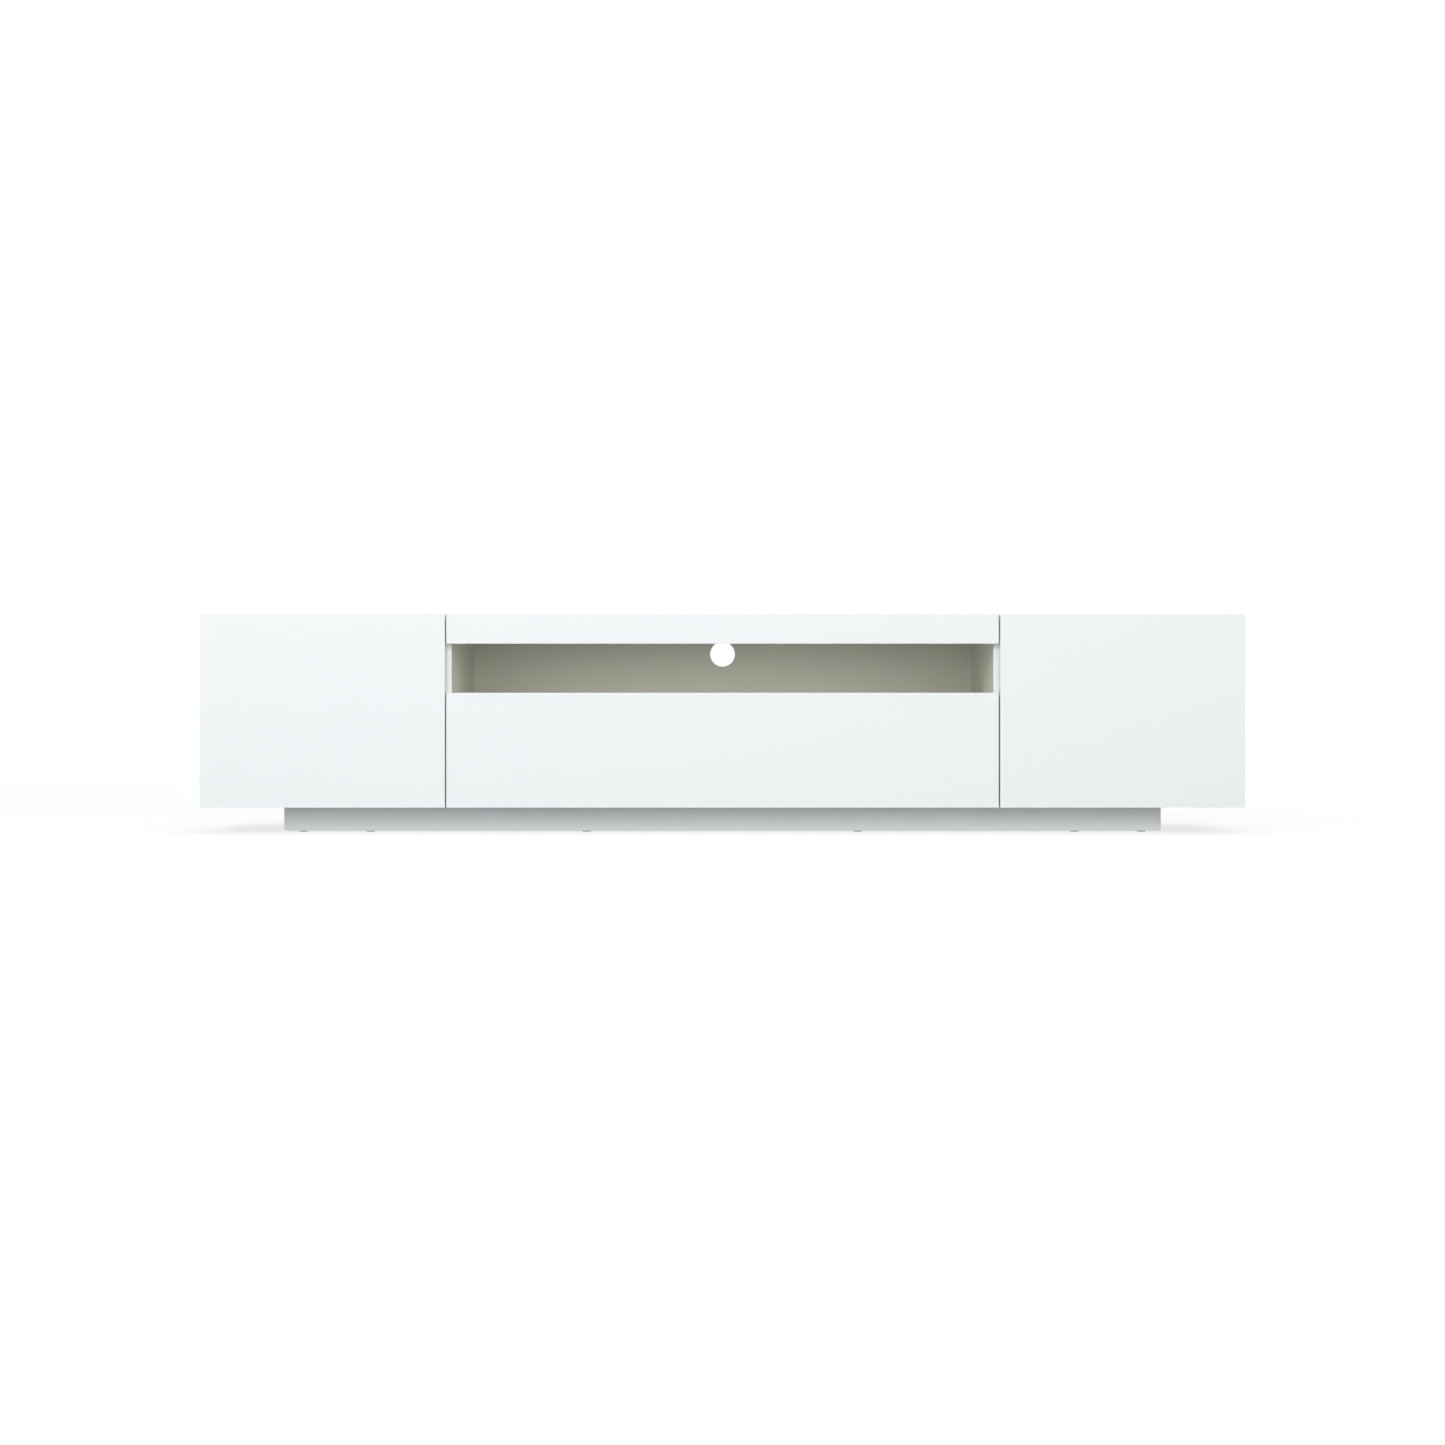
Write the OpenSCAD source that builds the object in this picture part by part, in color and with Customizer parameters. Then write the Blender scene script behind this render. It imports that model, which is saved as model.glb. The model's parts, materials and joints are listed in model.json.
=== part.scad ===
// Low media cabinet on a recessed plinth: a hinged door at each end, an open niche in the
// middle with a cable hole in its back, and a drop-down flap below the niche.
// Millimetres. +X is the viewer's right, the fronts face -Y, +Z is up, and the origin is
// on the floor below the middle of the cabinet.

/* [Overall] */
// Width over the two doors
body_w = 2000; // [1700:10:2600]
// Depth from the front faces to the back edges
body_d = 400; // [360:5:520]
// Height from the floor to the top face
body_h = 420; // [410:5:540]

/* [Layout] */
// Distance between the middles of the two partitions
middle_w = 1060; // [880:10:1300]
// Height of the fixed rail over the niche
fascia_h = 56; // [36:1:70]
// Clear height of the niche between the rail and the flap
niche_h = 94; // [78:1:115]
// Gap between neighbouring fronts
door_gap = 3; // [2:0.5:5]
// Gap between the fronts and the carcass behind them
front_gap = 2; // [2:0.1:2.4]

/* [Boards] */
// Thickness of the carcass boards and shelves
board_t = 18; // [16:0.5:22]
// Thickness of the doors, the flap and the rail
front_t = 18; // [16:0.5:22]
// Thickness of the back panels
back_t = 5; // [3:0.5:6]
// Distance of the back panels from the back edges
back_inset = 10; // [6:1:30]
// Depth of the groove that holds a back panel
groove_depth = 6; // [4:0.5:6.5]
// Play around a back panel in its groove
groove_play = 0.15; // [0.05:0.05:0.4]
// Diameter of the cable hole in the niche back
cable_hole_d = 52; // [30:1:60]
// Drop of the cable hole's middle below the top panel
cable_hole_drop = 46; // [38:1:60]

/* [Plinth] */
// Height of the plinth with its glides
plinth_h = 50; // [42:1:90]
// Thickness of the plinth boards
plinth_t = 18; // [16:0.5:22]
// Setback of the plinth from the front faces
plinth_front_inset = 80; // [40:5:110]
// Setback of the plinth from the back edges
plinth_back_inset = 40; // [20:5:80]
// Setback of the plinth from the cabinet's ends
plinth_side_inset = 145; // [60:5:200]
// Height of the nail-on glides
glide_h = 2; // [1.5:0.5:5]
// Radius of the glides
glide_r = 8; // [6:0.5:9]

/* [Shelves] */
// Height of a shelf's underside above the bottom panel
shelf_rise = 158; // [120:1:190]
// Setback of a shelf from the carcass front
shelf_front_inset = 40; // [20:5:90]
// Gap between a shelf and the boards beside it
shelf_play = 1; // [0.8:0.1:2]
// Radius of the shelf pins
shelf_pin_r = 2.5; // [2:0.5:3]
// Spacing of the rows of shelf pin holes
hole_pitch = 32; // [20:1:40]

/* [Doors] */
// Opening angle of the flap
flap_open = 90; // [75:1:95]
// Distance of a door hinge from the door's top and bottom edges
door_hinge_inset = 80; // [70:1:110]
// Distance of the outer flap hinges from the middle
flap_hinge_x = 400; // [250:10:420]

/* [Hinges] */
// Radius of a hinge cup
cup_r = 17.5; // [17.5:0.1:18]
// Distance of the cup's middle from the door edge
cup_x = 22.5; // [21.5:0.1:23]
// Depth of the cup in the door
cup_depth = 12.5; // [11.5:0.1:13]
// Distance between the two pins of a hinge link
link_len = 18; // [17.5:0.1:18.5]
// Part of the door's turn that its links turn back
link_share = 0.225; // [0.2:0.005:0.24]
// Width of a hinge arm
arm_w = 12.6; // [12:0.1:16]

/* [Stays] */
// Length of a stay arm between its pins
stay_len = 160; // [150:1:165]
// Height of a stay's pivot above the flap's lower edge
stay_rise = 110; // [100:1:120]
// Turn of a stay arm while the flap opens
stay_turn = 30; // [26:1:34]
// Radius of the pin that runs in the track
track_pin_r = 3; // [2.5:0.5:4]
// Thickness of the track plate
track_t = 4; // [4:0.5:5]

/* [Latches] */
// Distance of a door latch from the partition
door_latch_inset = 40; // [20:1:80]
// Distance of a flap latch from the middle
flap_latch_x = 300; // [150:10:350]

/* [Fittings] */
// Radius of the dowels
dowel_r = 4; // [3:0.5:5]
// Radius of the cam locks
cam_r = 7.5; // [7:0.5:8]
// Distance of a cam lock's middle from the board's end
cam_back = 24; // [20:1:34]
// Distance of the outer cam locks from the board's front and back edges
cam_inset = 60; // [50:1:80]
// Distance from a cam lock to the dowel beside it
dowel_step = 32; // [24:1:40]

/* [Hidden] */
$fn = 48;
fit = 0.05;          // radial play of pins, dowels and screws in their holes
cut = 1;             // how far a cutter runs past a face
run_play = 0.2;      // side play between a hinge link and the cheeks around it

// Planes of the carcass
half_w = body_w / 2;
front_y = -body_d / 2;
front_in_y = front_y + front_t;
carcass_y = front_in_y + front_gap;
back_y = body_d / 2;
top_z = body_h - board_t;
bottom_z = plinth_h + board_t;
side_in = half_w - board_t;
part_in = middle_w / 2 - board_t / 2;
part_out = middle_w / 2 + board_t / 2;
flap_top_z = body_h - fascia_h - niche_h;
floor_under_z = flap_top_z - board_t;
panel_y = back_y - back_inset - back_t;
front_half_w = middle_w / 2 - door_gap / 2;
door_half_x = middle_w / 2 + door_gap / 2;
bays = [[-side_in, -part_out], [-part_in, part_in], [part_out, side_in]];

// Plinth boards
plinth_x = half_w - plinth_side_inset;
plinth_y0 = front_y + plinth_front_inset;
plinth_y1 = back_y - plinth_back_inset;
plinth_in_y0 = plinth_y0 + plinth_t;
plinth_in_y1 = plinth_y1 - plinth_t;
plinth_mid_z = (glide_h + plinth_h) / 2;
cross_rail_xs = [-middle_w / 2, 0, middle_w / 2];
plinth_side_mid_x = plinth_x - plinth_t / 2;
glide_nail_r = 1.2;
glide_nail_len = 12;
plinth_dowel_rise = 10;
bracket_leg = 25;
bracket_sheet = 2;
bracket_half = 9;
bracket_hole_at = 15;
bracket_end_inset = 150;

// Screws: [shank radius, length, head radius, head height]
euro_screw = [2.5, 12, 4, 2];
small_screw = [1.75, 13, 3, 1];
track_screw = [1.75, 13, 3.4, 1.8];
bracket_screw = [2, 13, 3.8, 1.6];
recess_w = 0.9;
recess_reach = 0.55;   // half length of a driver recess, as a share of the head's radius
recess_floor = 0.35;   // height of a driver recess's floor, as a share of the head's height

// Shelves and their pins
shelf_z = bottom_z + shelf_rise;
shelf_pin_seat = 0.1;
shelf_pin_z = shelf_z - shelf_pin_r - shelf_pin_seat;
shelf_pin_out = 8;
shelf_pin_depth = 10;
shelf_hole_depth = 11;
shelf_collar_t = 0.6;
shelf_collar_r = 3.5;
shelf_back_gap = 3;
shelf_pin_ys = [carcass_y + cam_inset, back_y - cam_inset];

// Cam joints: the head of a bolt stands in a cam, the other end in the mating board
bolt_neck_r = 2.2;
bolt_head_r = 3.2;
bolt_head_len = 4;
bolt_thread_r = 3.4;
bolt_thread_len = 11;
bolt_collar_r = 3.9;
bolt_collar_len = 3;
bolt_hole_r = 4;
cam_past_bolt = 3.5;
cam_h = board_t / 2 + cam_past_bolt;
cam_floor = 0.5;
cam_slot_w = 5.4;
cam_cavity_r = 3.7;
cam_cavity_len = 6;
cam_recess_depth = 1.5;
dowel_end_depth = 23;
dowel_face_depth = 11;
dowel_bottom_play = 0.5;
floor_cam_inset = 100;
fascia_dowel_xs = [for (i = [-2 : 2]) i * middle_w / 5];

// Hinges, in a hinge's own frame: x in from the door's hinged edge, y out from the carcass
// front, z along the edge
pin_a = [27, 8];
pin_b = [pin_a[0] - link_len, pin_a[1]];
link_pin_r = 1.5;
link_w = 6;
link_end_r = 2.6;
link_half_t = 1.4;
link_bow = [[0, 0], [5, 3], [12, 3], [link_len, 0]];
nose_r = 3;
arm_root_t = 8;
arm_len = 57;
plate_t = 2;
plate_setback = 37;
plate_hole_step = 16;
plate_front = 16;     // from the screws to the plate's front end
plate_side = 2;       // from the arm's side to the plate's edge
plate_wing = 8;       // from a screw to the edge of the plate's wing
arm_slot_play = 1.5;
arm_dimple_r = 2.6;
arm_dimple_depth = 2.5;
arm_dimples = [9, 30];  // from the arm's rear end
cutter_len = 60;
cup_wall = 1;
cup_floor_t = 0.8;
flange_t = 1;
flange_r = 19;
ear_x = 9.5;
ear_step = 22.5;
ear_r = 5;
boss_t = 3;
boss_root = 0.4;      // how far a boss runs into the cup's floor
boss_pin_inset = 0.5;
cup_bottom_play = 0.2;
door_hinge_zs = [plinth_h + door_hinge_inset, body_h - door_hinge_inset];
flap_hinge_xs = [-flap_hinge_x, 0, flap_hinge_x];
// Where hinges stand: [place, rotation]
left_hinges = [for (z = door_hinge_zs) [[-half_w, carcass_y, z], [180, 0, 0]]];
right_hinges = [for (z = door_hinge_zs) [[half_w, carcass_y, z], [0, 0, 180]]];
flap_hinges = [for (x = flap_hinge_xs) [[x, carcass_y, plinth_h], [180, -90, 0]]];

// Stays, in the flap hinges' frame
stay_pivot = [stay_rise, -15];
stay_bar_t = 3;
stay_bar_half = 6;
stay_end_r = 7.5;
stay_gap = 1.5;
stay_pivot_r = 2.5;
lug_gap = 0.5;
lug_t = 3;
lug_half = 9;
lug_plate_w = 22;
lug_plate_half = 20;
lug_plate_t = 2;
lug_hole_step = 13;
lug_hole_in = 13;
track_play = 0.15;
track_pin_gap = 0.5;
track_margin = 8;
track_steps = 24;
tab_r = 7;
tab_drop = 16;
stay_bar_z = part_in - track_t - stay_gap - stay_bar_t;
lug_z = stay_bar_z - lug_gap - lug_t;
track_tabs = [track_steps * 0.2, track_steps * 0.8];

// Push latches: each hangs under a board, [x, underside of the board]
latch_w = 14;
latch_len = 60;
latch_setback = 2;
plunger_r = 4;
plunger_play = 0.1;
plunger_tip = 1;
plunger_tail = 44;
plunger_bore_len = 50;
latch_peg_r = 2.5;
latch_peg_len = 8;
latch_peg_ys = [12, 48];
strike_t = 1.2;
strike_r = 8;
strike_play = 0.3;
left_latches = [[-part_out - door_latch_inset, top_z]];
right_latches = [[part_out + door_latch_inset, top_z]];
flap_latches = [for (s = [-1, 1]) [s * flap_latch_x, floor_under_z]];

// Bumpers: [x, z] on the inner faces of the fronts
bumper_r = 4;
bumper_play = 0.3;
bumper_t = front_gap - bumper_play;
bumper_x = part_out + 80;
flap_bumper_x = part_in - 60;
edge_zs = [plinth_h + board_t / 2, top_z + board_t / 2];
left_bumpers = [for (z = edge_zs) [-bumper_x, z]];
right_bumpers = [for (z = edge_zs) [bumper_x, z]];
flap_bumpers = [for (s = [-1, 1]) [s * flap_bumper_x, flap_top_z - board_t / 2]];

// Colours
lacquer = [0.95, 0.955, 0.95];
melamine = [0.93, 0.93, 0.92];
steel = [0.72, 0.73, 0.74];
zinc = [0.62, 0.63, 0.64];
beech = [0.80, 0.64, 0.43];
grey = [0.62, 0.63, 0.64];
clear = [0.88, 0.89, 0.89];

// ---- Joints between boards ----
// Each is [place, rotation]. In its frame the joint plane is z = 0, the mating board is
// above it, and +x points to the face that the cam is let into.
cam_ys = [carcass_y + cam_inset, back_y - cam_inset];
floor_cam_ys = [carcass_y + floor_cam_inset, back_y - floor_cam_inset];
floor_mid_z = flap_top_z - board_t / 2;
uprights = [
  [-half_w + board_t / 2, 0], [-middle_w / 2, 180], [middle_w / 2, 0], [half_w - board_t / 2, 180]
];

function upright_places(ys) = [
  for (u = uprights) for (y = ys) for (up = [true, false])
    [[u[0], y, up ? top_z : bottom_z], [up ? 0 : 180, 0, u[1]]]
];
function floor_places(ys) = [
  for (s = [-1, 1]) for (y = ys) [[s * part_in, y, floor_mid_z], [0, 90, s > 0 ? 0 : 180]]
];
function dowel_ys(ys) = [ys[0] + dowel_step, ys[1] - dowel_step];

cam_places = concat(upright_places(cam_ys), floor_places(floor_cam_ys));
plinth_dowel_xs = concat([-plinth_side_mid_x], cross_rail_xs, [plinth_side_mid_x]);
dowel_places = concat(
  upright_places(dowel_ys(cam_ys)),
  floor_places(dowel_ys(floor_cam_ys)),
  [for (x = fascia_dowel_xs) [[x, carcass_y, top_z + board_t / 2], [90, 0, 0]]],
  [for (x = plinth_dowel_xs) for (s = [-1, 1])
    [[x, plinth_in_y0, plinth_mid_z + s * plinth_dowel_rise], [90, 0, 0]]],
  [for (x = plinth_dowel_xs) for (s = [-1, 1])
    [[x, plinth_in_y1, plinth_mid_z + s * plinth_dowel_rise], [-90, 0, 0]]]
);

function touches(p, lo, hi) = min([for (i = [0 : 2]) min(p[i] - lo[i], hi[i] - p[i])]) > -0.01;

module slab(lo, hi) {
  translate(lo) cube(hi - lo);
}

module at(place) {
  translate(place[0]) rotate(place[1]) children();
}

module rod(r, z0, z1) {
  translate([0, 0, z0]) cylinder(r = r, h = z1 - z0);
}

// A rod along y from y0 to y1
module rod_y(r, x, y0, y1, z) {
  translate([x, y0, z]) rotate([-90, 0, 0]) cylinder(r = r, h = y1 - y0);
}

module cam_cut() {
  translate([board_t / 2 - cam_h - cam_floor, 0, -cam_back]) rotate([0, 90, 0])
    cylinder(r = cam_r + fit, h = cam_h + cam_floor + cut);
  rod(bolt_hole_r, -cam_back, cut / 2);
  rod(bolt_thread_r + fit, -cut, bolt_thread_len + fit);
}

module dowel_cut() {
  rod(dowel_r + fit, -dowel_end_depth - dowel_bottom_play, dowel_face_depth + dowel_bottom_play);
}

// Grooves for the back panels, one box for each bay
module back_slots() {
  for (b = bays)
    slab([b[0] - groove_depth, panel_y - groove_play, bottom_z - groove_depth],
         [b[1] + groove_depth, panel_y + back_t + groove_play, top_z + groove_depth]);
}

// A board with the holes of every joint that lies on it; the children are cut away too
module board(lo, hi) {
  difference() {
    slab(lo, hi);
    for (p = cam_places) if (touches(p[0], lo, hi)) at(p) cam_cut();
    for (p = dowel_places) if (touches(p[0], lo, hi)) at(p) dowel_cut();
    children();
  }
}

// ---- Screws ----
// The head stands above z = 0 and the shank goes down from there
module screw(s) {
  difference() {
    union() {
      rod(s[0], -s[1], 0);
      rod(s[2], 0, s[3]);
    }
    for (a = [0, 90]) rotate([0, 0, a])
      translate([-s[2] * recess_reach, -recess_w / 2, s[3] * recess_floor])
        cube([2 * s[2] * recess_reach, recess_w, s[3]]);
  }
}

module screw_hole(s, grip) {
  rod(s[0] + fit, -s[1] - grip, cut);
}

// ---- Cam fittings ----
module cam_lock() {
  translate([board_t / 2, 0, -cam_back]) rotate([0, -90, 0]) difference() {
    cylinder(r = cam_r, h = cam_h);
    translate([0, -cam_slot_w / 2, board_t / 2 - cam_slot_w / 2])
      cube([cam_r + cut, cam_slot_w, cam_slot_w]);
    translate([-cam_cavity_len / 2, 0, board_t / 2]) rotate([0, 90, 0])
      cylinder(r = cam_cavity_r, h = cam_cavity_len);
    for (a = [45, 135]) rotate([0, 0, a])
      translate([-cam_r * recess_reach, -recess_w / 2, -cut])
        cube([2 * cam_r * recess_reach, recess_w, cut + cam_recess_depth]);
  }
}

module cam_bolt() {
  translate([0, 0, -cam_back]) rod(bolt_head_r, -bolt_head_len / 2, bolt_head_len / 2 - 1);
  rod(bolt_neck_r, -cam_back, 0);
  rod(bolt_collar_r, -bolt_collar_len, 0);
  rod(bolt_thread_r, 0, bolt_thread_len);
}

module cam_locks() {
  color(zinc) for (p = cam_places) at(p) cam_lock();
}

module cam_bolts() {
  color(steel) for (p = cam_places) at(p) cam_bolt();
}

module dowels() {
  color(beech) for (p = dowel_places) at(p) rod(dowel_r, -dowel_end_depth, dowel_face_depth);
}

// ---- Carcass ----
module top_panel() {
  color(lacquer) board([-half_w, carcass_y, top_z], [half_w, back_y, body_h]) {
    back_slots();
    latch_peg_holes(concat(left_latches, right_latches));
  }
}

module bottom_panel() {
  color(lacquer) board([-half_w, carcass_y, plinth_h], [half_w, back_y, bottom_z]) {
    back_slots();
    plate_screw_holes(flap_hinges);
    plinth_screw_holes();
  }
}

module shelf_holes(s, face) {
  for (y = shelf_pin_ys) for (row = [-1 : 1])
    translate([s * face, y, shelf_pin_z + row * hole_pitch]) rotate([0, 90, 0])
      cylinder(r = shelf_pin_r + fit, h = 2 * shelf_hole_depth, center = true);
}

module left_side_panel() {
  color(lacquer) board([-half_w, carcass_y, bottom_z], [-side_in, back_y, top_z]) {
    back_slots();
    shelf_holes(-1, side_in);
    plate_screw_holes(left_hinges);
  }
}

module right_side_panel() {
  color(lacquer) board([side_in, carcass_y, bottom_z], [half_w, back_y, top_z]) {
    back_slots();
    shelf_holes(1, side_in);
    plate_screw_holes(right_hinges);
  }
}

module partition_cuts(s) {
  back_slots();
  shelf_holes(s, part_out);
  track_screw_holes();
}

module left_partition() {
  color(melamine) board([-part_out, carcass_y, bottom_z], [-part_in, back_y, top_z])
    partition_cuts(-1);
}

module right_partition() {
  color(melamine) board([part_in, carcass_y, bottom_z], [part_out, back_y, top_z])
    partition_cuts(1);
}

module niche_floor() {
  color(melamine)
    board([-part_in, carcass_y, floor_under_z], [part_in, panel_y - groove_play, flap_top_z])
      latch_peg_holes(flap_latches);
}

module niche_fascia() {
  color(lacquer) board([-front_half_w, front_y, body_h - fascia_h], [front_half_w, carcass_y, body_h]);
}

module back_panel(b) {
  slab([b[0] - groove_depth + groove_play, panel_y, bottom_z - groove_depth],
       [b[1] + groove_depth - groove_play, panel_y + back_t, top_z + groove_depth - groove_play]);
}

module left_back_panel() {
  color(melamine) back_panel(bays[0]);
}

module centre_back_panel() {
  color(melamine) difference() {
    back_panel(bays[1]);
    rod_y(cable_hole_d / 2, 0, panel_y - cut, panel_y + back_t + cut, top_z - cable_hole_drop);
  }
}

module right_back_panel() {
  color(melamine) back_panel(bays[2]);
}

// ---- Plinth ----
plinth_rows = [plinth_y0 + plinth_t / 2, plinth_y1 - plinth_t / 2];
// Glides near the ends and midway between the boards that cross the plinth
glide_xs = concat(
  [for (s = [-1, 1]) s * (plinth_side_mid_x - 1.5 * plinth_t)],
  [for (i = [1 : len(plinth_dowel_xs) - 1]) (plinth_dowel_xs[i - 1] + plinth_dowel_xs[i]) / 2]
);
glide_places = [for (y = plinth_rows) for (x = glide_xs) [x, y]];
// Angle brackets: [corner between the plinth board and the bottom panel, turn about z]
bracket_xs = [-plinth_x + bracket_end_inset, -middle_w / 4, middle_w / 4, plinth_x - bracket_end_inset];
bracket_places = concat(
  [for (x = bracket_xs) [[x, plinth_in_y0, plinth_h], [0, 0, 90]]],
  [for (x = bracket_xs) [[x, plinth_in_y1, plinth_h], [0, 0, -90]]],
  [for (s = [-1, 1]) [[s * (plinth_x - plinth_t), 0, plinth_h], [0, 0, s < 0 ? 0 : 180]]]
);

module nail_holes() {
  for (p = glide_places) translate([p[0], p[1], glide_h])
    rod(glide_nail_r + fit, -cut, glide_nail_len + fit);
}

module plinth_screw_holes() {
  for (p = bracket_places) at(p) bracket_screws() screw_hole(bracket_screw, fit);
}

// Both screws of a bracket, each with its head on the bracket's free face
module bracket_screws() {
  translate([bracket_hole_at, 0, -bracket_sheet]) rotate([180, 0, 0]) children();
  translate([bracket_sheet, 0, -bracket_hole_at]) rotate([0, 90, 0]) children();
}

module plinth_board(lo, hi) {
  board(lo, hi) {
    nail_holes();
    plinth_screw_holes();
  }
}

module plinth_front() {
  color(lacquer) plinth_board([-plinth_x, plinth_y0, glide_h], [plinth_x, plinth_in_y0, plinth_h]);
}

module plinth_back() {
  color(lacquer) plinth_board([-plinth_x, plinth_in_y1, glide_h], [plinth_x, plinth_y1, plinth_h]);
}

module plinth_left() {
  color(lacquer)
    plinth_board([-plinth_x, plinth_in_y0, glide_h], [-plinth_x + plinth_t, plinth_in_y1, plinth_h]);
}

module plinth_right() {
  color(lacquer)
    plinth_board([plinth_x - plinth_t, plinth_in_y0, glide_h], [plinth_x, plinth_in_y1, plinth_h]);
}

module plinth_cross_rails() {
  color(melamine) for (x = cross_rail_xs)
    board([x - plinth_t / 2, plinth_in_y0, glide_h], [x + plinth_t / 2, plinth_in_y1, plinth_h]);
}

module plinth_glides() {
  color(grey) for (p = glide_places) translate([p[0], p[1], 0]) {
    rod(glide_r, 0, glide_h);
    rod(glide_nail_r, glide_h, glide_h + glide_nail_len);
  }
}

module plinth_brackets() {
  color(zinc) for (p = bracket_places) at(p) difference() {
    union() {
      slab([0, -bracket_half, -bracket_sheet], [bracket_leg, bracket_half, 0]);
      slab([0, -bracket_half, -bracket_leg], [bracket_sheet, bracket_half, 0]);
    }
    bracket_screws() screw_hole(bracket_screw, fit);
  }
}

module plinth_screws() {
  color(steel) for (p = bracket_places) at(p) bracket_screws() screw(bracket_screw);
}

// ---- Shelves ----
module shelf(b) {
  slab([b[0] + shelf_play, carcass_y + shelf_front_inset, shelf_z],
       [b[1] - shelf_play, panel_y - shelf_back_gap, shelf_z + board_t]);
}

module left_shelf() {
  color(melamine) shelf(bays[0]);
}

module right_shelf() {
  color(melamine) shelf(bays[2]);
}

module shelf_pins() {
  color(steel) for (b = [bays[0], bays[2]]) for (y = shelf_pin_ys) for (e = [0, 1])
    translate([b[e], y, shelf_pin_z]) rotate([0, e == 0 ? 90 : -90, 0]) {
      rod(shelf_pin_r, -shelf_pin_depth, shelf_pin_out);
      rod(shelf_collar_r, 0, shelf_collar_t);
    }
}

// ---- Concealed hinges ----
// Each has a mounting plate and an arm on the carcass, a link, and a cup in the door
module plate_screw_sites() {
  for (s = [-1, 1]) translate([board_t + plate_t, -plate_setback, s * plate_hole_step])
    rotate([0, 90, 0]) children();
}

module plate_screw_holes(hinges) {
  for (h = hinges) at(h) plate_screw_sites() screw_hole(euro_screw, fit);
}

module hinge_plate() {
  difference() {
    union() {
      slab([board_t, -arm_len, -arm_w / 2 - plate_side],
           [board_t + plate_t, -plate_setback + plate_front, arm_w / 2 + plate_side]);
      slab([board_t, -plate_setback - plate_wing, -plate_hole_step - plate_wing],
           [board_t + plate_t, -plate_setback + plate_wing, plate_hole_step + plate_wing]);
    }
    plate_screw_sites() screw_hole(euro_screw, 0);
  }
}

module hinge_arm() {
  root = board_t + plate_t;
  nose = pin_a[0];
  difference() {
    translate([0, 0, -arm_w / 2]) linear_extrude(arm_w) union() {
      polygon([
        [root, -arm_len], [root, -6], [nose - nose_r, 2], [nose - nose_r, pin_a[1]],
        [nose + nose_r, pin_a[1]], [nose + nose_r, -2], [root + arm_root_t, -10],
        [root + arm_root_t, -arm_len + 3], [root + arm_root_t - 3, -arm_len]
      ]);
      translate(pin_a) circle(nose_r);
    }
    slab([0, pin_a[1] - nose_r - arm_slot_play, -link_w / 2 - run_play],
         [cutter_len, cutter_len, link_w / 2 + run_play]);
    for (d = arm_dimples) translate([root + arm_root_t, d - arm_len, 0])
      rotate([0, -90, 0]) rod(arm_dimple_r, -cut, arm_dimple_depth);
  }
  translate(pin_a) rod(link_pin_r, -arm_w / 2, arm_w / 2);
}

// Flat bar between two points
module bar(p, q, half) {
  translate(p) rotate(atan2(q[1] - p[1], q[0] - p[0])) translate([0, -half]) square([norm(q - p), 2 * half]);
}

// One side of the bowed link, from the cup's pin to the arm's pin or back
function link_bow_side(s) = [
  for (i = [0 : len(link_bow) - 1]) link_bow[s > 0 ? i : len(link_bow) - 1 - i] + [0, s * link_half_t]
];

module hinge_link() {
  translate([0, 0, -link_w / 2]) linear_extrude(link_w) difference() {
    union() {
      polygon([for (p = concat(link_bow_side(1), link_bow_side(-1))) pin_b + p]);
      for (p = [pin_a, pin_b]) translate(p) circle(link_end_r);
    }
    for (p = [pin_a, pin_b]) translate(p) circle(link_pin_r + fit);
  }
}

module cup_screw_sites() {
  for (s = [-1, 1]) translate([cup_x + ear_x, front_gap - flange_t, s * ear_step])
    rotate([90, 0, 0]) children();
}

// Hole in the door for a cup and its screws
module cup_cut() {
  translate([cup_x, front_gap - cut, 0]) rotate([-90, 0, 0])
    cylinder(r = cup_r + fit, h = cut + cup_depth + cup_bottom_play);
  cup_screw_sites() screw_hole(small_screw, fit);
}

module hinge_cup() {
  boss_z = link_w / 2 + run_play;
  floor_y = front_gap + cup_depth - cup_floor_t;
  difference() {
    union() {
      translate([cup_x, front_gap - flange_t, 0]) rotate([-90, 0, 0]) {
        cylinder(r = cup_r, h = flange_t + cup_depth);
        cylinder(r = flange_r, h = flange_t);
        for (s = [-1, 1]) translate([ear_x, s * ear_step, 0]) cylinder(r = ear_r, h = flange_t);
      }
      slab([cup_x + ear_x - ear_r, front_gap - flange_t, -ear_step],
           [cup_x + ear_x + ear_r, front_gap, ear_step]);
    }
    translate([cup_x, 0, 0]) rotate([-90, 0, 0]) cylinder(r = cup_r - cup_wall, h = floor_y);
    cup_screw_sites() screw_hole(small_screw, 0);
  }
  intersection() {
    for (s = [-1, 1]) translate([0, 0, s > 0 ? boss_z : -boss_z - boss_t])
      linear_extrude(boss_t) union() {
        translate(pin_b) circle(link_end_r);
        translate([pin_b[0] - link_end_r, pin_b[1]]) square([2 * link_end_r, floor_y - pin_b[1] + boss_root]);
      }
    translate([cup_x, 0, 0]) rotate([-90, 0, 0]) cylinder(r = cup_r - cup_wall / 2, h = cutter_len);
  }
  translate(pin_b) rod(link_pin_r, boss_pin_inset - boss_z - boss_t, boss_z + boss_t - boss_pin_inset);
}

module left_hinge_plates() {
  color(steel) for (h = left_hinges) at(h) hinge_plate();
}

module right_hinge_plates() {
  color(steel) for (h = right_hinges) at(h) hinge_plate();
}

module flap_hinge_plates() {
  color(steel) for (h = flap_hinges) at(h) hinge_plate();
}

module left_hinge_arms() {
  color(steel) for (h = left_hinges) at(h) hinge_arm();
}

module right_hinge_arms() {
  color(steel) for (h = right_hinges) at(h) hinge_arm();
}

module flap_hinge_arms() {
  color(steel) for (h = flap_hinges) at(h) hinge_arm();
}

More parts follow.
